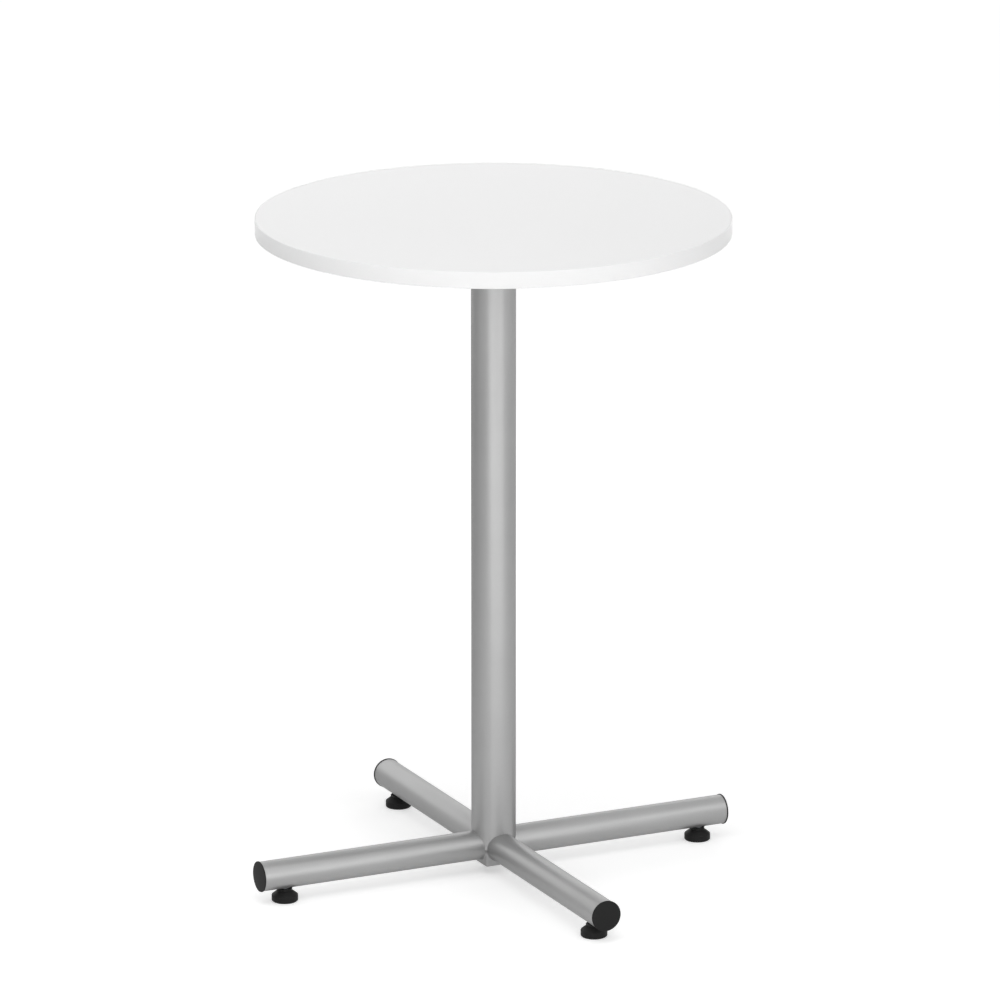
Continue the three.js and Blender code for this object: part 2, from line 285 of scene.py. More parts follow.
def close_mesh(piece):
    """Merges doubled vertices, turns all faces outwards and leaves edit mode."""
    edit(piece)
    bpy.ops.mesh.select_all(action='SELECT')
    bpy.ops.mesh.remove_doubles(threshold=MERGE_DISTANCE)
    bpy.ops.mesh.normals_make_consistent(inside=False)
    bpy.ops.object.mode_set(mode='OBJECT')


def select_in_edit(piece, kind, wanted):
    """In edit mode, selects the edges or faces whose corners all pass the test."""
    bpy.ops.mesh.select_mode(type=kind)
    bpy.ops.mesh.select_all(action='DESELECT')
    shape = bmesh.from_edit_mesh(piece.data)
    for part in shape.edges if kind == 'EDGE' else shape.faces:
        part.select_set(wanted([corner.co for corner in part.verts]))
    shape.select_flush_mode()
    bmesh.update_edit_mesh(piece.data)


def is_level(corners):
    """Whether all corners of a face lie at one height."""
    levels = [corner.z for corner in corners]
    return max(levels) - min(levels) < MERGE_DISTANCE


def is_upright(ends):
    """Whether an edge stands upright."""
    return (ends[0] - ends[1]).xy.length < MERGE_DISTANCE


def corner_arc(before, corner, after, size):
    """Points of the arc that rounds one corner of a profile."""
    to_before = (before - corner).normalized()
    to_after = (after - corner).normalized()
    half = to_before.angle(to_after) / 2
    centre = corner + (to_before + to_after).normalized() * size / math.sin(half)
    start = (corner + to_before * size / math.tan(half) - centre).normalized()
    end = (corner + to_after * size / math.tan(half) - centre).normalized()
    turns = [start.slerp(end, step / ROUND_STEPS) for step in range(ROUND_STEPS + 1)]
    return [centre + turn * size for turn in turns]


def soften(corners):
    """Points of a profile in which each (radius, height, round) corner with a round becomes an arc."""
    places = [Vector(corner[:2]) for corner in corners]
    points = []
    for number, corner in enumerate(corners):
        if len(corner) == 3:
            points += corner_arc(places[number - 1], places[number], places[number + 1], corner[2])
        else:
            points.append(places[number])
    return points


def ball_arc(centre_height, radius, first, last):
    """Corners of a ball's profile from one angle to another, both in degrees above its middle."""
    shares = [step / BALL_STEPS for step in range(BALL_STEPS + 1)]
    angles = [math.radians(first + (last - first) * share) for share in shares]
    return [(radius * math.cos(angle), centre_height + radius * math.sin(angle)) for angle in angles]


def draw_line(name, points):
    """Starts a piece as one vertex and extrudes it from point to point, each a (radius, height)."""
    pick()
    bpy.ops.mesh.primitive_plane_add(size=MM)
    piece = bpy.context.object
    piece.name = name
    edit(piece)
    bpy.ops.mesh.select_mode(type='VERT')
    bpy.ops.mesh.merge(type='CENTER')
    bpy.ops.transform.translate(value=(points[0][0], 0, points[0][1]))
    for here, there in zip(points, points[1:]):
        step = (there[0] - here[0], 0, there[1] - here[1])
        bpy.ops.mesh.extrude_region_move(TRANSFORM_OT_translate={"value": step})
    bpy.ops.object.mode_set(mode='OBJECT')
    return piece


def turn(name, corners, steps):
    """Turns a profile of (radius, height) or (radius, height, round) corners about the Z axis."""
    piece = draw_line(name, soften(corners))
    edit(piece)
    bpy.ops.mesh.select_all(action='SELECT')
    bpy.ops.mesh.spin(steps=steps, angle=math.tau, center=(0, 0, 0), axis=(0, 0, 1))
    close_mesh(piece)
    return piece


def tube(name, bore, radius, low, high, edge, steps):
    """A tube about the Z axis with broken edges."""
    middle = (low + high) / 2
    return turn(name, [
        (bore, middle),
        (bore, low),
        (radius, low, edge),
        (radius, high, edge),
        (bore, high),
        (bore, middle),
    ], steps)


def rod(name, radius, low, high, steps):
    """A plain round cutter about the Z axis."""
    return turn(name, [(0, low), (radius, low), (radius, high), (0, high)], steps)


def block(name, low, high):
    """A square-edged block between two corners."""
    pick()
    bpy.ops.mesh.primitive_cube_add(size=1, location=(low + high) / 2)
    piece = bpy.context.object
    piece.name = name
    piece.scale = high - low
    apply_place(piece)
    return piece


def round_upright_edges(piece, radius):
    """Rounds the four upright edges of a block."""
    edit(piece)
    select_in_edit(piece, 'EDGE', is_upright)
    bpy.ops.mesh.bevel(offset=radius, segments=CORNER_STEPS, affect='EDGES')
    bpy.ops.object.mode_set(mode='OBJECT')


def modify(piece, kind, **settings):
    """Runs a modifier on a piece and applies it."""
    pick(piece)
    bpy.ops.object.modifier_add(type=kind)
    modifier = piece.modifiers[-1]
    for name, value in settings.items():
        setattr(modifier, name, value)
    bpy.ops.object.modifier_apply(modifier=modifier.name)
    close_mesh(piece)


def combine(piece, tool, operation):
    """Cuts, joins or crosses a piece with another one, which is used up."""
    modify(piece, 'BOOLEAN', operation=operation, solver='EXACT', object=tool)
    bpy.data.objects.remove(tool)


def break_edges(piece, width):
    """Bevels the sharp edges of a piece."""
    modify(
        piece, 'BEVEL', width=width, segments=BREAK_STEPS, limit_method='ANGLE', angle_limit=SMOOTH_ANGLE
    )


def threaded_rod(name, radius, pitch, low, high):
    """A right-hand thread: one turn's profile wound up the Z axis, with both ends cut off square."""
    root = radius - THREAD_DEPTH * pitch
    start = low - pitch
    crest = THREAD_CREST * pitch / 2
    valley = THREAD_ROOT * pitch / 2
    piece = draw_line(name, [
        (radius, start - crest),
        (radius, start + crest),
        (root, start + pitch / 2 - valley),
        (root, start + pitch / 2 + valley),
        (radius, start + pitch - crest),
    ])
    modify(
        piece, 'SCREW', screw_offset=pitch, iterations=math.ceil((high - low) / pitch) + 2,
        steps=THREAD_STEPS, render_steps=THREAD_STEPS,
        use_merge_vertices=True, merge_threshold=MERGE_DISTANCE,
    )
    edit(piece)
    for height, upward in ((low, False), (high, True)):
        bpy.ops.mesh.select_all(action='SELECT')
        bpy.ops.mesh.bisect(
            plane_co=(0, 0, height), plane_no=(0, 0, 1), use_fill=True,
            clear_inner=not upward, clear_outer=upward, threshold=BISECT_DISTANCE,
        )
    close_mesh(piece)
    return piece


def hexagon(name, across_flats, low, high):
    """A hexagon with its corners turned off at both ends, as on a nut."""
    corner = across_flats / math.sqrt(3)
    flat = across_flats / 2
    slope = (corner - flat) * math.tan(NUT_CHAMFER)
    pick()
    bpy.ops.mesh.primitive_cylinder_add(
        vertices=6, radius=corner, depth=high - low,
        location=(0, 0, (low + high) / 2), rotation=(0, 0, QUARTER_TURN),
    )
    piece = bpy.context.object
    piece.name = name
    apply_place(piece)
    turned_off = turn("turned_off", [
        (0, low),
        (flat, low),
        (corner + slope, low + 2 * slope),
        (corner + slope, high - 2 * slope),
        (flat, high),
        (0, high),
    ], TUBE_STEPS)
    combine(piece, turned_off, 'INTERSECT')
    return piece


def lay_along_leg(piece, axis_height):
    """Lays a piece made about the Z axis on the axis of the right leg."""
    piece.rotation_euler.y = QUARTER_TURN
    piece.location.z = axis_height
    apply_place(piece)


def move_to_foot(piece):
    """Moves a piece made about the Z axis to the right leg's foot."""
    piece.location.x = foot_reach()
    apply_place(piece)


def cope_over_legs(piece):
    """Cuts the legs' shape out of a piece on the column's axis, so that it seats on them without a gap."""
    axis_height, leg_radius = leg_axis()
    reach = 2 * radius_of("column_tube")
    for turned in (0, QUARTER_TURN):
        cope = rod("cope", leg_radius, -reach, reach, TUBE_STEPS)
        lay_along_leg(cope, axis_height)
        cope.rotation_euler.z = turned
        apply_place(cope)
        combine(piece, cope, 'DIFFERENCE')


def copy_of(piece, place=(0, 0), turned=0):
    """A copy of a piece with its own mesh, moved by (x, y) or turned about the Z axis."""
    pick(piece)
    bpy.ops.object.duplicate()
    copy = bpy.context.object
    copy.location = (*place, 0)
    copy.rotation_euler.z = turned
    apply_place(copy)
    return copy


def copy_to_screws(piece):
    """Moves a piece made about the Z axis to every plate screw: a copy at each, in place of the piece."""
    copies = [copy_of(piece, place=place) for place in screw_places()]
    bpy.data.objects.remove(piece)
    return copies


def copy_round(piece):
    """The right leg's piece and its copies on the other legs."""
    return [piece, *[copy_of(piece, turned=quarter * QUARTER_TURN) for quarter in range(1, len(SIDES))]]


def join(pieces):
    """One object made of several."""
    pick(*pieces)
    bpy.ops.object.join()
    return bpy.context.object


def drill_for_screws(piece, low, high):
    """Drills a piece at every plate screw, with clearance."""
    sizes = bpy.context.scene.table_sizes
    hole = rod("hole", sizes.screw_shank + sizes.seat_gap, low, high, SMALL_STEPS)
    combine(piece, join(copy_to_screws(hole)), 'DIFFERENCE')


def dress(piece, name, body, slot):
    """Names a finished piece, gives it its finish and lets it ride on its body."""
    pick(piece)
    bpy.ops.object.shade_smooth_by_angle(angle=SMOOTH_ANGLE)
    piece.name = name
    piece.data.name = name
    give_finish(piece, slot)
    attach(piece, body)


def stand_for(piece, node):
    """Puts a finished piece in the place of a CAD node."""
    dress(piece, f"{node}_form", BODY[node], SLOT[node])
    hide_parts(node)


def dress_round(piece, kind, node):
    """Dresses a piece and its copies round the column, which ride with a node and share its finish."""
    for side, copy in zip(SIDES, copy_round(piece)):
        dress(copy, f"{kind}_{side}", BODY[node], SLOT[node])


def stand_for_legs(piece, kind):
    """Puts a finished piece and its copies in the place of the four legs' nodes of one kind."""
    for side, copy in zip(SIDES, copy_round(piece)):
        stand_for(copy, f"{kind}_{side}")


# Finishes

# Inputs of the grain, and the detail in its noise
GRAIN_SIZES = ("Grain Size", "Patch Size", "Flake Size")
GRAIN_DETAIL = 3.0
PATCH_DETAIL = 2.0

# Brightened edges, scuffed and, on the black moulding, also a painted highlight: how often an edge is
# probed, and how far its normals agree where the mark starts and is full
EDGE_SAMPLES = 4
EDGE_STARTS = 0.995
EDGE_FULL = 0.8


def linear(shown, brighter):
    """A shown colour, made brighter or darker, as the four numbers that a shader takes."""
    tone = Color([min(part * brighter, 1.0) for part in shown]).from_srgb_to_scene_linear()
    return (*tone, 1.0)


def feed(tree, target, value):
    """Links an input to a socket, or sets it to a value."""
    if isinstance(value, bpy.types.NodeSocket):
        tree.links.new(value, target)
    else:
        target.default_value = value


def add_node(tree, kind, inputs=None, **settings):
    """A node with its settings, and with its inputs fed by name or number."""
    node = tree.nodes.new(kind)
    for name, value in settings.items():
        setattr(node, name, value)
    for name, value in (inputs or {}).items():
        feed(tree, node.inputs[name], value)
    return node


def socket(sockets, identifier):
    """The socket with this identifier, for nodes whose socket names repeat."""
    return next(one for one in sockets if one.identifier == identifier)


def mix_colours(tree, factor, first, second):
    """A colour mix, whose colours are sockets or fixed colours."""
    node = add_node(tree, 'ShaderNodeMix', data_type='RGBA')
    for name, value in (('Factor_Float', factor), ('A_Color', first), ('B_Color', second)):
        feed(tree, socket(node.inputs, name), value)
    return socket(node.outputs, 'Result_Color')


def math_node(tree, operation, first, second):
    """A math node on two values or sockets."""
    return add_node(tree, 'ShaderNodeMath', {0: first, 1: second}, operation=operation).outputs['Value']


def ramp(tree, value, start, end, low, high):
    """Goes from low to high while a value goes from start to end, and stays there beyond."""
    inputs = {'Value': value, 'From Min': start, 'From Max': end, 'To Min': low, 'To Max': high}
    return add_node(tree, 'ShaderNodeMapRange', inputs).outputs['Result']


def start_group(name, inputs, outputs):
    """An empty shader node group with float outputs, and its input and output nodes."""
    group = bpy.data.node_groups.new(name, 'ShaderNodeTree')
    for label, kind in inputs:
        group.interface.new_socket(label, in_out='INPUT', socket_type=kind)
    for label in outputs:
        group.interface.new_socket(label, in_out='OUTPUT', socket_type='NodeSocketFloat')
    return group, group.nodes.new('NodeGroupInput'), group.nodes.new('NodeGroupOutput')


def grain_group():
    """Fine grain, broad soft patches and single bright flakes, each from 0 to 1, sized in metres."""
    name = "Surface grain"
    if name in bpy.data.node_groups:
        return bpy.data.node_groups[name]
    inputs = [("Vector", 'NodeSocketVector'), *[(label, 'NodeSocketFloat') for label in GRAIN_SIZES]]
    group, start, end = start_group(name, inputs, ("Grain", "Patches", "Flakes"))
    fine = add_node(group, 'ShaderNodeTexNoise', {'Detail': GRAIN_DETAIL})
    broad = add_node(group, 'ShaderNodeTexNoise', {'Detail': PATCH_DETAIL})
    cells = add_node(group, 'ShaderNodeTexVoronoi')
    for label, pattern in zip(GRAIN_SIZES, (fine, broad, cells)):
        group.links.new(start.outputs["Vector"], pattern.inputs['Vector'])
        group.links.new(math_node(group, 'DIVIDE', 1.0, start.outputs[label]), pattern.inputs['Scale'])
    group.links.new(fine.outputs['Fac'], end.inputs["Grain"])
    group.links.new(broad.outputs['Fac'], end.inputs["Patches"])
    split = add_node(group, 'ShaderNodeSeparateColor', {'Color': cells.outputs['Color']})
    group.links.new(split.outputs['Red'], end.inputs["Flakes"])
    return group


def wear_and_highlight_group():
    """A mask along sharp edges, broken up by the grain: 0 on flat faces, up to Amount at an edge, for
    scuffed edges and a painted edge highlight.
    """
    name = "Edge wear"
    if name in bpy.data.node_groups:
        return bpy.data.node_groups[name]
    labels = ("Radius", "Amount", "Grain")
    group, start, end = start_group(name, [(label, 'NodeSocketFloat') for label in labels], ("Wear",))
    rounded = add_node(group, 'ShaderNodeBevel', {'Radius': start.outputs["Radius"]}, samples=EDGE_SAMPLES)
    surface = add_node(group, 'ShaderNodeNewGeometry')
    normals = {0: rounded.outputs['Normal'], 1: surface.outputs['Normal']}
    agree = add_node(group, 'ShaderNodeVectorMath', normals, operation='DOT_PRODUCT')
    bent = ramp(group, agree.outputs['Value'], EDGE_STARTS, EDGE_FULL, 0, 1)
    broken = math_node(group, 'MULTIPLY', bent, start.outputs["Grain"])
    group.links.new(math_node(group, 'MULTIPLY', broken, start.outputs["Amount"]), end.inputs["Wear"])
    return group


def build_finish(name, tone, sizes, roughness, relief, tones, wear, metallic=0.0, specular=0.5, rim=1.0):
    """A finish with patchy colour, flakes, scuffed edges that on the black moulding also carry a painted
    highlight, uneven gloss and a fine relief, made only once.

    tone names its colour property, and tones are its darkest and brightest colour as shares of that one.
    sizes are those of grain, patches and flakes. The edge setting is the width, amount and brightness of the
    scuffed edges and of the painted edge highlight, and rim tints what is mirrored at a slant.
    """
    if name in bpy.data.materials:
        return bpy.data.materials[name]
    material = bpy.data.materials.new(name)
    material.use_nodes = True
    tree = material.node_tree
    shader = tree.nodes['Principled BSDF']
    place = add_node(tree, 'ShaderNodeTexCoord').outputs['Object']
    grain_inputs = {"Vector": place, **dict(zip(GRAIN_SIZES, sizes))}
    grain = add_node(tree, 'ShaderNodeGroup', grain_inputs, node_tree=grain_group()).outputs
    # Edges take a brighter colour: scuffing, and on the black moulding also a painted highlight
    edge_width, edge_amount, wear_and_highlight_tone = wear
    edge_inputs = {"Radius": edge_width, "Amount": edge_amount, "Grain": grain["Grain"]}
    edges = add_node(tree, 'ShaderNodeGroup', edge_inputs, node_tree=wear_and_highlight_group()).outputs

    shown = getattr(bpy.context.scene.table_colours, tone)
    darkest, brightest, worn_and_highlit = [linear(shown, share) for share in (*tones, wear_and_highlight_tone)]
    mean = math_node(tree, 'MULTIPLY', math_node(tree, 'ADD', grain["Patches"], grain["Flakes"]), 0.5)
    tint = mix_colours(tree, mean, darkest, brightest)
    bump = add_node(tree, 'ShaderNodeBump', {'Distance': relief, 'Height': grain["Grain"]})
    for label, value in (
        ('Metallic', metallic),
        ('Specular IOR Level', specular),
        ('Specular Tint', (rim, rim, rim, 1)),
        ('Base Color', mix_colours(tree, edges["Wear"], tint, worn_and_highlit)),
        ('Roughness', ramp(tree, grain["Grain"], 0, 1, *roughness)),
        ('Normal', bump.outputs['Normal']),
    ):
        feed(tree, shader.inputs[label], value)
    return material


# The finish of each slot in the record
FINISHES = {
    "top_white": {
        "name": "white_melamine", "tone": "board", "tones": (0.995, 1.003),
        "sizes": (0.9 * MM, 180 * MM, 2 * MM), "roughness": (0.44, 0.5), "relief": 0.015 * MM,
        "wear": (0.4 * MM, 0.3, 0.95),
    },
    "band_white": {
        "name": "white_band", "tone": "band", "tones": (0.995, 1.003),
        "sizes": (0.5 * MM, 120 * MM, 2 * MM), "roughness": (0.36, 0.44), "relief": 0.012 * MM,
        "wear": (0.3 * MM, 0.3, 0.97), "specular": 0.08,
    },
    "silver_coat": {
        "name": "silver_powder_coat", "tone": "silver", "tones": (0.95, 1.05),
        "sizes": (0.8 * MM, 90 * MM, 0.35 * MM), "roughness": (0.36, 0.48), "relief": 0.02 * MM,
        "wear": (0.5 * MM, 0.5, 1.12), "metallic": 0.7, "rim": 0.5,
    },
    "zinc_steel": {
        "name": "zinc_plate", "tone": "zinc", "tones": (0.9, 1.06),
        "sizes": (0.4 * MM, 8 * MM, 0.6 * MM), "roughness": (0.26, 0.42), "relief": 0.008 * MM,
        "wear": (0.3 * MM, 0.6, 1.15), "metallic": 1.0,
    },
    # The black's edges turn twice as bright over a millimetre: scuffing, and also a painted highlight on the
    # rims of the caps, collars and pads
    "black_plastic": {
        "name": "black_moulding", "tone": "black", "tones": (0.92, 1.08),
        "sizes": (0.45 * MM, 20 * MM, 0.5 * MM), "roughness": (0.44, 0.58), "relief": 0.02 * MM,
        "wear": (1 * MM, 0.9, 2), "specular": 0.07,
    },
}


def give_finish(piece, slot):
    """Gives a piece the finish of a slot, and no other."""
    piece.data.materials.clear()
    piece.data.materials.append(build_finish(**FINISHES[slot]))


# Stage

FLOOR_SIZE = 300
FLOOR_DROP = 0.1 * MM
FLOOR_WHITE = (0.8, 0.8, 0.8, 1)
PURE_WHITE = (1, 1, 1, 1)

# The floor's glow for the camera, weak at the table, where shadows fall, and white further out
NEAR_FLOOR = 0.8
NEAR_GLOW = 0.44
FAR_FLOOR = 2.6
FAR_GLOW = 0.82

# What is added to the near glow in reflections only, brighter behind, a painted light in front and a painted
# shade to the left: (side, depth) that it lies towards, start, end, amount
MIRRORED_GLOW = (
    ((0, -1), 0.8, 2.6, 0.38),
    ((-1, 0), 0.15, 1.4, -0.36),
    ((0, 1), 0.1, 0.7, 0.12),
)

# Where the light panels stand round the table, and how high they hang above it
PANEL_REACH = 2.4
PANEL_HEIGHT = 3.2

# Width of the camera's sensor in millimetres
SENSOR_WIDTH = 36


def from_camera(side, depth, height):
    """A point, by how far it lies right of the table's axis, how far towards the camera, and how high."""
    azimuth = bpy.context.scene.table_stage.azimuth
    across = Vector((math.cos(azimuth), math.sin(azimuth), 0))
    near = Vector((math.sin(azimuth), -math.cos(azimuth), 0))
    return across * side + near * depth + Vector((0, 0, height))


def looking_rays(tree):
    """1 for rays that look or reflect, 0 for rays that only bring light."""
    path = add_node(tree, 'ShaderNodeLightPath')
    seen = math_node(tree, 'MAXIMUM', path.outputs['Is Camera Ray'], path.outputs['Is Glossy Ray'])
    return math_node(tree, 'MAXIMUM', seen, path.outputs['Is Transmission Ray'])


def floor_glow(tree):
    """The floor's own light: the same all round for the camera; in reflections brighter behind, with a
    painted light in front and a painted shade to the left.
    """
    place = add_node(tree, 'ShaderNodeTexCoord')
    around = add_node(tree, 'ShaderNodeVectorMath', {0: place.outputs['Object']}, operation='LENGTH')
    even = ramp(tree, around.outputs['Value'], NEAR_FLOOR, FAR_FLOOR, NEAR_GLOW, FAR_GLOW)
    uneven = NEAR_GLOW
    # Painted light and shade on the floor that only reflections see
    for (side, depth), start, end, amount in MIRRORED_GLOW:
        inputs = {0: place.outputs['Object'], 1: from_camera(side, depth, 0)}
        along = add_node(tree, 'ShaderNodeVectorMath', inputs, operation='DOT_PRODUCT')
        uneven = math_node(tree, 'ADD', uneven, ramp(tree, along.outputs['Value'], start, end, 0, amount))
    path = add_node(tree, 'ShaderNodeLightPath')
    mirrored = math_node(tree, 'MAXIMUM', path.outputs['Is Glossy Ray'], path.outputs['Is Transmission Ray'])
    seen = math_node(tree, 'MULTIPLY', path.outputs['Is Camera Ray'], even)
    return math_node(tree, 'MAXIMUM', seen, math_node(tree, 'MULTIPLY', mirrored, uneven))


def add_floor():
    """A white floor that keeps the table's shadow and can be seen through from below."""
    pick()
    bpy.ops.mesh.primitive_plane_add(size=FLOOR_SIZE, location=(0, 0, CAD_BOX[0].z - FLOOR_DROP))
    floor = bpy.context.object
    floor.name = "floor"
    apply_place(floor)
    material = bpy.data.materials.new("white_floor")
    material.use_nodes = True
    tree = material.node_tree
    matt = add_node(tree, 'ShaderNodeBsdfDiffuse', {'Color': FLOOR_WHITE})
    glow = add_node(tree, 'ShaderNodeEmission', {'Strength': floor_glow(tree)})
    both = {0: matt.outputs['BSDF'], 1: glow.outputs['Emission']}
    above = add_node(tree, 'ShaderNodeAddShader', both).outputs['Shader']
    below = add_node(tree, 'ShaderNodeBsdfTransparent').outputs['BSDF']
    seen_from_below = add_node(tree, 'ShaderNodeNewGeometry').outputs['Backfacing']
    choose = add_node(tree, 'ShaderNodeMixShader', {'Fac': seen_from_below, 1: above, 2: below})
    tree.links.new(choose.outputs['Shader'], tree.nodes['Material Output'].inputs['Surface'])
    floor.data.materials.append(material)


def add_world(ambient):
    """A white background for what looks or reflects, and a dimmer even light for the rest."""
    world = bpy.data.worlds.new("studio")
    bpy.context.scene.world = world
    world.use_nodes = True
    tree = world.node_tree
    even = tree.nodes['Background']
    even.inputs['Color'].default_value = PURE_WHITE
    even.inputs['Strength'].default_value = ambient
    white = add_node(tree, 'ShaderNodeBackground', {'Color': PURE_WHITE, 'Strength': 1.0})
    both = {1: even.outputs['Background'], 2: white.outputs['Background']}
    choose = add_node(tree, 'ShaderNodeMixShader', {'Fac': looking_rays(tree), **both})
    tree.links.new(choose.outputs['Shader'], tree.nodes['World Output'].inputs['Surface'])


def add_panel(name, place, back, width, height, radiance):
    """A soft light panel whose back points in a given direction."""
    pick()
    bpy.ops.object.light_add(type='AREA', location=place)
    panel = bpy.context.object
    panel.name = name
    panel.rotation_euler = back.to_track_quat('Z', 'Y').to_euler()
    panel.data.shape = 'RECTANGLE'
    panel.data.size = width
    panel.data.size_y = height
    panel.data.energy = radiance * math.pi * width * height
    panel.visible_camera = False


def stand_panel(name, azimuth, span, low, high, radiance):
    """An upright panel round the table, placed by angles at its axis, in degrees right of the camera."""
    turned = math.radians(azimuth)
    side, depth = math.sin(turned), math.cos(turned)
    place = from_camera(side * PANEL_REACH, depth * PANEL_REACH, (low + high) / 2)
    width = 2 * PANEL_REACH * math.tan(math.radians(span / 2))
    add_panel(name, place, from_camera(side, depth, 0), width, high - low, radiance)


def hang_panel(name, side, depth, size, radiance):
    """A square panel that hangs level above the table."""
    add_panel(name, from_camera(side, depth, PANEL_HEIGHT), Vector((0, 0, 1)), size, size, radiance)


def add_lamps():
    """Low bright panels in front, higher ones on both sides and behind, and soft ones overhead."""
    stand_panel("front_panel", azimuth=-6, span=33, low=0.15, high=1.05, radiance=2.45)
    stand_panel("front_right_panel", azimuth=32.5, span=35, low=0.02, high=1.0, radiance=1.61)
    stand_panel("left_panel", azimuth=-50, span=60, low=1.0, high=2.2, radiance=1.2)
    stand_panel("right_panel", azimuth=40, span=40, low=1.0, high=2.2, radiance=0.89)
    stand_panel("far_right_panel", azimuth=85, span=50, low=1.0, high=2.2, radiance=1.3)
    stand_panel("back_panel", azimuth=-175, span=100, low=0.5, high=1.8, radiance=1.3)
    hang_panel("overhead_front", side=0, depth=2, size=2, radiance=2.04)
    hang_panel("overhead_left", side=-2, depth=0, size=2, radiance=0.94)
    hang_panel("overhead_middle", side=0, depth=0, size=2, radiance=1.3)


def add_camera(settings):
    """The camera, at the photograph's viewing angle."""
    place = from_camera(0, settings.distance, settings.height)
    aim = from_camera(settings.aim_side, 0, settings.aim_height)
    pick()
    bpy.ops.object.camera_add(location=place)
    camera = bpy.context.object
    camera.rotation_euler = (place - aim).to_track_quat('Z', 'Y').to_euler()
    camera.data.sensor_width = SENSOR_WIDTH
    camera.data.lens = settings.lens
    camera.data.clip_end = 2 * FLOOR_SIZE
    bpy.context.scene.camera = camera


# Operators: one for each piece or group of like pieces

class TABLE_OT_board(bpy.types.Operator):
    """Round board with broken edges and pilot holes for the plate screws"""

    bl_idname = "table.board"
    bl_label = "Board"

    def execute(self, context):
        sizes = context.scene.table_sizes
        low, high = heights("tabletop_board")
        radius = radius_of("tabletop_board")
        piece = turn("board", [
            (0, low),
            (radius, low, sizes.board_break),
            (radius, high, sizes.board_break),
            (0, high),
        ], TOP_STEPS)
        drill_for_screws(piece, low - CUT_OVERRUN, heights(SCREWS[0])[1] + sizes.seat_gap)
        stand_for(piece, "tabletop_board")
        return {'FINISHED'}


class TABLE_OT_band(bpy.types.Operator):
    """Edge band with rounded outer edges"""

    bl_idname = "table.band"
    bl_label = "Edge band"

    def execute(self, context):
        sizes = context.scene.table_sizes
        low, high = heights("tabletop_edge_band")
        radius = radius_of("tabletop_edge_band")
        bore = radius_of("tabletop_board") + sizes.glue_gap
        middle = (low + high) / 2
        piece = turn("band", [
            (bore, middle),
            (bore, low, sizes.board_break),
            (radius, low, sizes.band_round),
            (radius, high, sizes.band_round),
            (bore, high, sizes.board_break),
            (bore, middle),
        ], TOP_STEPS)
        stand_for(piece, "tabletop_edge_band")
        return {'FINISHED'}


class TABLE_OT_plate(bpy.types.Operator):
    """Square mounting plate with rounded corners and screw holes, and the weld that holds the column"""

    bl_idname = "table.plate"
    bl_label = "Mounting plate"

    def execute(self, context):
        sizes = context.scene.table_sizes
        low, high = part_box("top_mounting_plate")
        piece = block("plate", low, high)
        round_upright_edges(piece, sizes.plate_corner)
        drill_for_screws(piece, low.z - CUT_OVERRUN, high.z + CUT_OVERRUN)
        break_edges(piece, sizes.plate_break)
        stand_for(piece, "top_mounting_plate")

        column = radius_of("column_tube")
        inside = column - sizes.tube_wall / 2
        face = sizes.plate_weld * WELD_FACE
        weld = turn("weld", [
            (inside, low.z),
            (inside, low.z - sizes.plate_weld),
            (column, low.z - sizes.plate_weld),
            (column + face, low.z - face, sizes.plate_weld),
            (column + sizes.plate_weld, low.z),
            (inside, low.z),
        ], TUBE_STEPS)
        dress(weld, "plate_weld", BODY["column_tube"], SLOT["column_tube"])
        return {'FINISHED'}


class TABLE_OT_screws(bpy.types.Operator):
    """Pan-head wood screws with a cross recess"""

    bl_idname = "table.screws"
    bl_label = "Plate screws"

    def execute(self, context):
        sizes = context.scene.table_sizes
        low, high = heights(SCREWS[0])
        head_radius = radius_of(SCREWS[0])
        seat = low + sizes.screw_head
        point = high - sizes.screw_point
        shank = sizes.screw_shank
        root = shank - THREAD_DEPTH * sizes.screw_pitch
        head = turn("screw", [
            (0, low),
            (head_radius, low, sizes.screw_head * PAN_ROUND),
            (head_radius, seat),
            (root, seat),
            (root, point),
            (0, high),
        ], SMALL_STEPS)
        thread = threaded_rod("thread", shank, sizes.screw_pitch, seat - sizes.screw_head / 2, point)
        combine(head, thread, 'UNION')
        arm = (sizes.recess_width / 2, sizes.recess_length / 2)
        for x, y in (arm, reversed(arm)):
            bottom = Vector((-x, -y, low - CUT_OVERRUN))
            top = Vector((x, y, low + sizes.recess_depth))
            combine(head, block("arm", bottom, top), 'DIFFERENCE')
        for screw, copy in zip(SCREWS, copy_to_screws(head)):
            stand_for(copy, screw)
        return {'FINISHED'}


class TABLE_OT_column(bpy.types.Operator):
    """Column tube, coped over the legs"""

    bl_idname = "table.column"
    bl_label = "Column"

    def execute(self, context):
        sizes = context.scene.table_sizes
        low, high = heights("column_tube")
        radius = radius_of("column_tube")
        piece = tube("column", radius - sizes.tube_wall, radius, low, high, sizes.tube_break, TUBE_STEPS)
        cope_over_legs(piece)
        stand_for(piece, "column_tube")
        return {'FINISHED'}


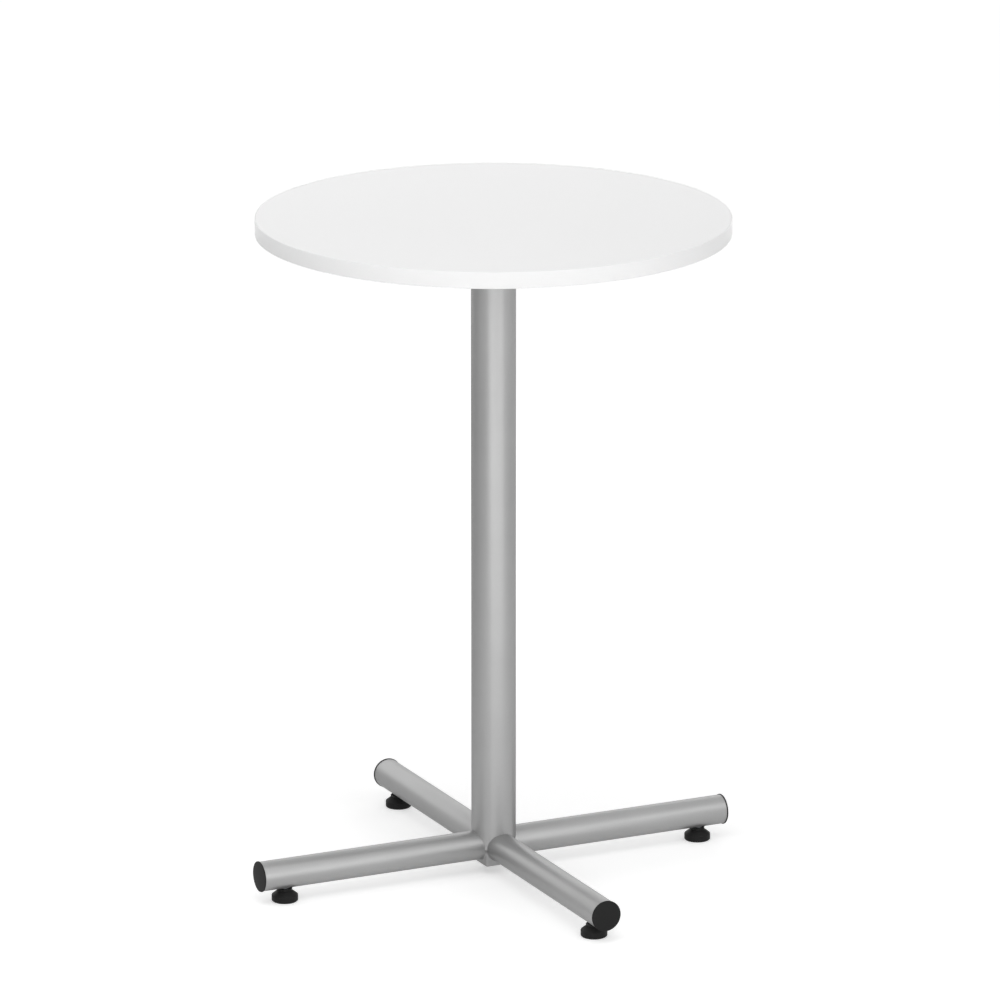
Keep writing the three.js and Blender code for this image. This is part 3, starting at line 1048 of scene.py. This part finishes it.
class TABLE_OT_hub(bpy.types.Operator):
    """Square hub post, open right through, with the welds that hold the legs"""

    bl_idname = "table.hub"
    bl_label = "Hub post"

    def execute(self, context):
        sizes = context.scene.table_sizes
        low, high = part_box("hub_post")
        piece = block("hub", low, high)
        round_upright_edges(piece, sizes.hub_corner)
        edit(piece)
        select_in_edit(piece, 'FACE', is_level)
        bpy.ops.mesh.inset(thickness=sizes.hub_wall, use_individual=True)
        bpy.ops.mesh.bridge_edge_loops()
        close_mesh(piece)
        break_edges(piece, sizes.tube_break)
        stand_for(piece, "hub_post")

        self.weld_legs(sizes, low, high)
        self.weld_corners(sizes, high.z)
        return {'FINISHED'}

    def weld_legs(self, sizes, low, high):
        """Beads under the legs where they meet the hub."""
        axis_height, leg_radius = leg_axis()
        inside = leg_radius - sizes.tube_wall / 2
        root = high.x - sizes.seat_gap
        end = high.x + sizes.leg_weld
        face = sizes.leg_weld * WELD_FACE
        bead = turn("bead", [
            (inside, root),
            (leg_radius + sizes.leg_weld, root),
            (leg_radius + face, high.x + face, sizes.leg_weld),
            (leg_radius, end),
            (inside, end),
            (inside, root),
        ], TUBE_STEPS)
        lay_along_leg(bead, axis_height)
        margin = sizes.hub_corner / 2
        side = high.y - margin
        keep = block("keep", Vector((0, -side, low.z + margin)), Vector((2 * high.x, side, axis_height)))
        combine(bead, keep, 'INTERSECT')
        dress_round(bead, "leg_weld", "hub_post")

    def weld_corners(self, sizes, height):
        """Welds between neighbouring legs, flush with the column that stands over them."""
        axis_height = leg_axis()[0]
        column = radius_of("column_tube")
        core = column - sizes.corner_weld
        top = heights("column_tube")[0] + sizes.tube_break
        foot = axis_height - sizes.corner_weld / 2
        corner = turn("corner", [
            (core, foot - sizes.corner_weld),
            (column, foot),
            (column, top),
            (core, top),
            (core, foot - sizes.corner_weld),
        ], TUBE_STEPS)
        cope_over_legs(corner)
        quarter = block("quarter", Vector((0, 0, 0)), Vector((column, column, height)))
        combine(corner, quarter, 'INTERSECT')
        dress_round(corner, "corner_weld", "hub_post")


class TABLE_OT_clamp(bpy.types.Operator):
    """Clamp bolt and washer, and the finish of the anchor disc and the head plate inside the column"""

    bl_idname = "table.clamp"
    bl_label = "Clamp bolt and washer"

    def execute(self, context):
        sizes = context.scene.table_sizes
        low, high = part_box("clamp_bolt")
        washer_low, washer_high = heights("clamp_washer")
        across_flats = high.y - low.y
        bolt = hexagon("bolt", across_flats, low.z, washer_low)
        shank = across_flats / BOLT_FLATS / 2
        thread = threaded_rod("thread", shank, sizes.spindle_pitch, (low.z + washer_low) / 2, high.z)
        combine(bolt, thread, 'UNION')
        stand_for(bolt, "clamp_bolt")

        edge = (washer_high - washer_low) * WASHER_EDGE
        bore = shank + sizes.seat_gap
        washer = tube("washer", bore, radius_of("clamp_washer"), washer_low, washer_high, edge, FOOT_STEPS)
        stand_for(washer, "clamp_washer")

        for node in ("column_anchor_disc", "hub_head_plate"):
            give_finish(frame["nodes"][node], SLOT[node])
        return {'FINISHED'}


class TABLE_OT_legs(bpy.types.Operator):
    """Leg tubes with a hole for the foot insert"""

    bl_idname = "table.legs"
    bl_label = "Legs"

    def execute(self, context):
        sizes = context.scene.table_sizes
        low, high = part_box("leg_tube_right")
        axis_height, radius = leg_axis()
        piece = tube("leg", radius - sizes.tube_wall, radius, low.x, high.x, sizes.tube_break, TUBE_STEPS)
        lay_along_leg(piece, axis_height)
        hole = rod("hole", radius_of("foot_insert_right") + sizes.seat_gap, 0, axis_height, SMALL_STEPS)
        move_to_foot(hole)
        combine(piece, hole, 'DIFFERENCE')
        stand_for_legs(piece, "leg_tube")
        return {'FINISHED'}


class TABLE_OT_caps(bpy.types.Operator):
    """End caps with a domed head and a ribbed plug"""

    bl_idname = "table.caps"
    bl_label = "End caps"

    def execute(self, context):
        sizes = context.scene.table_sizes
        low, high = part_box("end_cap_right")
        axis_height, leg_radius = leg_axis()
        flange = high.y
        seat = high.x - sizes.cap_flange
        rib = leg_radius - sizes.tube_wall - sizes.seat_gap
        plug = rib - sizes.cap_rib
        bore = plug - sizes.cap_wall
        rim = high.x - sizes.cap_dome
        ball = (flange ** 2 + sizes.cap_dome ** 2) / (2 * sizes.cap_dome)
        rim_angle = math.degrees(math.acos(flange / ball))
        half_width = RIB_HALF_WIDTH * sizes.cap_rib
        ribs = []
        for share in RIB_PLACES:
            middle = low.x + (seat - low.x) * share
            ribs += [(plug, middle - half_width), (rib, middle), (plug, middle + half_width)]
        piece = turn("cap", [
            (0, seat),
            (bore, seat),
            (bore, low.x),
            (plug, low.x),
            *ribs,
            (plug, seat),
            (flange, seat),
            (flange, rim, sizes.cap_round),
            *ball_arc(high.x - ball, ball, rim_angle, POLE)[1:],
        ], TUBE_STEPS)
        lay_along_leg(piece, axis_height)
        stand_for_legs(piece, "end_cap")
        return {'FINISHED'}


class TABLE_OT_inserts(bpy.types.Operator):
    """Bushes in the legs that the feet screw into"""

    bl_idname = "table.inserts"
    bl_label = "Foot inserts"

    def execute(self, context):
        sizes = context.scene.table_sizes
        low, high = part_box("foot_insert_right")
        bore = sizes.spindle_radius + sizes.seat_gap
        piece = tube("insert", bore, high.y, low.z, high.z, sizes.tube_break, FOOT_STEPS)
        move_to_foot(piece)
        stand_for_legs(piece, "foot_insert")
        return {'FINISHED'}


class TABLE_OT_spindles(bpy.types.Operator):
    """Threaded foot spindles that end in a ball"""

    bl_idname = "table.spindles"
    bl_label = "Foot spindles"

    def execute(self, context):
        sizes = context.scene.table_sizes
        low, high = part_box("foot_spindle_right")
        shank = sizes.spindle_radius
        neck = shank - sizes.neck_relief
        ball = neck + sizes.ball_shoulder
        middle = low.z + ball
        start = heights("foot_collar_right")[0]
        neck_angle = math.degrees(math.acos(neck / ball))
        piece = turn("spindle", [
            *ball_arc(middle, ball, -POLE, neck_angle),
            (neck, high.z - 2 * sizes.spindle_chamfer),
            (0, high.z - 2 * sizes.spindle_chamfer),
        ], FOOT_STEPS)
        thread = threaded_rod("thread", shank, sizes.spindle_pitch, start, high.z)
        envelope = turn("envelope", [
            (0, start),
            (shank + sizes.seat_gap, start),
            (shank + sizes.seat_gap, high.z - sizes.spindle_chamfer - sizes.seat_gap),
            (shank - sizes.spindle_chamfer, high.z),
            (0, high.z),
        ], FOOT_STEPS)
        combine(thread, envelope, 'INTERSECT')
        combine(piece, thread, 'UNION')
        move_to_foot(piece)
        stand_for_legs(piece, "foot_spindle")
        return {'FINISHED'}


class TABLE_OT_collars(bpy.types.Operator):
    """Hexagonal collars that turn the feet"""

    bl_idname = "table.collars"
    bl_label = "Foot collars"

    def execute(self, context):
        sizes = context.scene.table_sizes
        low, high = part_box("foot_collar_right")
        piece = hexagon("collar", high.y - low.y, low.z, high.z)
        bore = rod("bore", sizes.spindle_radius, low.z - CUT_OVERRUN, high.z + CUT_OVERRUN, SMALL_STEPS)
        combine(piece, bore, 'DIFFERENCE')
        move_to_foot(piece)
        stand_for_legs(piece, "foot_collar")
        return {'FINISHED'}


class TABLE_OT_pads(bpy.types.Operator):
    """Foot pads with a hollow sole, a rounded shoulder and a socket for the ball"""

    bl_idname = "table.pads"
    bl_label = "Foot pads"

    def execute(self, context):
        sizes = context.scene.table_sizes
        low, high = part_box("foot_pad_right")
        neck = sizes.spindle_radius - sizes.neck_relief
        socket_radius = neck + sizes.ball_shoulder + sizes.seat_gap
        mouth = neck + sizes.mouth_gap
        middle = sizes.pad_floor + socket_radius
        mouth_angle = math.degrees(math.acos(mouth / socket_radius))
        ring = high.y - sizes.pad_chamfer - sizes.pad_sole_ring
        piece = turn("pad", [
            (0, low.z + sizes.pad_sole),
            (ring - sizes.pad_sole, low.z + sizes.pad_sole),
            (ring, low.z),
            (high.y - sizes.pad_chamfer, low.z),
            (high.y, low.z + sizes.pad_chamfer),
            (high.y, sizes.pad_side, sizes.pad_round),
            (sizes.pad_top, high.z, sizes.pad_round / 2),
            (mouth, high.z),
            *ball_arc(middle, socket_radius, mouth_angle, -POLE),
        ], FOOT_STEPS)
        move_to_foot(piece)
        stand_for_legs(piece, "foot_pad")
        return {'FINISHED'}


class TABLE_OT_stage(bpy.types.Operator):
    """White floor, soft studio light and the camera"""

    bl_idname = "table.stage"
    bl_label = "Stage"

    def execute(self, context):
        add_floor()
        add_world(context.scene.table_stage.ambient)
        add_lamps()
        add_camera(context.scene.table_stage)
        context.scene.view_settings.view_transform = 'Standard'
        return {'FINISHED'}


class TABLE_PT_sidebar(bpy.types.Panel):
    """The table's sizes, colours and operators in the sidebar"""

    bl_label = "Standing meeting table"
    bl_idname = "TABLE_PT_sidebar"
    bl_space_type = 'VIEW_3D'
    bl_region_type = 'UI'
    bl_category = "Table"

    def draw(self, context):
        for group in (context.scene.table_sizes, context.scene.table_colours, context.scene.table_stage):
            box = self.layout.box()
            for name in group.bl_rna.properties.keys():
                if name not in ("rna_type", "name"):
                    box.prop(group, name)
        for operator in OPERATORS:
            self.layout.operator(operator.bl_idname)


OPERATORS = (
    TABLE_OT_stage,
    TABLE_OT_board,
    TABLE_OT_band,
    TABLE_OT_plate,
    TABLE_OT_screws,
    TABLE_OT_column,
    TABLE_OT_hub,
    TABLE_OT_clamp,
    TABLE_OT_legs,
    TABLE_OT_caps,
    TABLE_OT_inserts,
    TABLE_OT_spindles,
    TABLE_OT_collars,
    TABLE_OT_pads,
)
SETTINGS = {"table_sizes": TableSizes, "table_colours": TableColours, "table_stage": StageSettings}


def register():
    for group in (*SETTINGS.values(), *OPERATORS, TABLE_PT_sidebar):
        bpy.utils.register_class(group)
    for name, group in SETTINGS.items():
        setattr(bpy.types.Scene, name, PointerProperty(type=group))


def unregister():
    for name in SETTINGS:
        delattr(bpy.types.Scene, name)
    for group in (TABLE_PT_sidebar, *reversed(OPERATORS), *reversed(SETTINGS.values())):
        bpy.utils.unregister_class(group)


def main():
    register()
    for operator in OPERATORS:
        group, name = operator.bl_idname.split(".")
        getattr(getattr(bpy.ops, group), name)()


if __name__ == "__main__":
    main()
